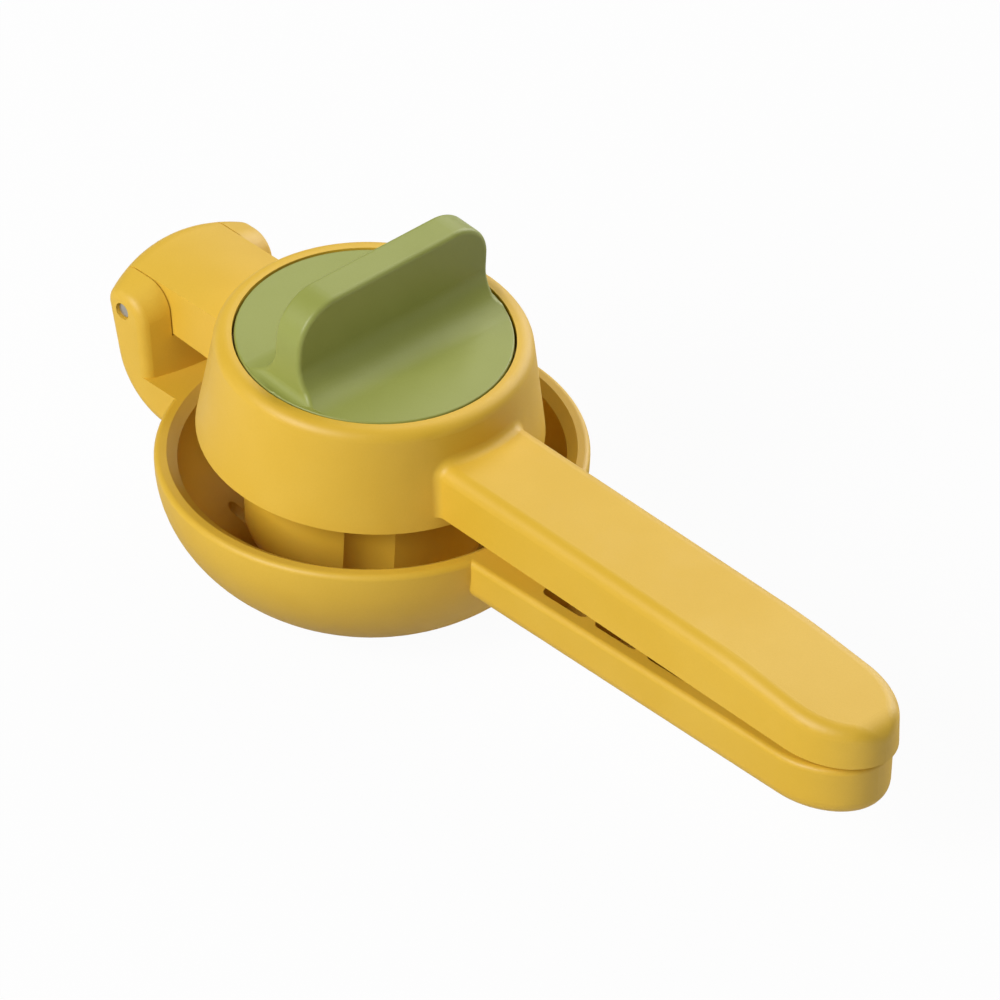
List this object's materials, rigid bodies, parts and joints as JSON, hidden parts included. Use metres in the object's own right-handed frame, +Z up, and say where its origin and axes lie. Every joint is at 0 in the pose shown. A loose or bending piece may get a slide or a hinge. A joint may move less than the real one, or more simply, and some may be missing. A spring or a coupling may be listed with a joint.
{
  "type": "hinged lemon squeezer",
  "caption": "Hand lever tool for squeezing citrus: a drained bowl and a hinged press lever whose ring carries a turn knob and a fluted press head.",
  "frame": {"origin": "middle of the flat foot under the bowl", "axes": "+Z up along the bowl's axis, +X towards the tips of the handles, Y along the hinge pin"},
  "size_m": [0.2145, 0.09, 0.0829],
  "materials": {
    "yellow_plastic": "fine satin moulded surface",
    "green_plastic": "fine satin moulded surface",
    "steel": "plain drawn steel"
  },
  "bodies": {
    "bowl_lever": {"bowl_lever": "yellow_plastic", "hinge_pin": "steel"},
    "press_lever": {"press_lever": "yellow_plastic"},
    "knob": {"turn_knob": "green_plastic", "press_head": "yellow_plastic", "knob_screw": "steel", "knob_washer": "steel"}
  },
  "joints": [
    {"name": "lever_hinge", "type": "hinge", "parent": "bowl_lever", "child": "press_lever", "pos_m": [-0.0564, 0, 0.047], "axis": [0, -1, 0], "range_deg": [0, 110]},
    {"name": "knob_turn", "type": "hinge", "parent": "press_lever", "child": "knob", "pos_m": [-0.00011, 0, 0.04346], "axis": [0.0628, 0, 0.998], "continuous": true}
  ]
}
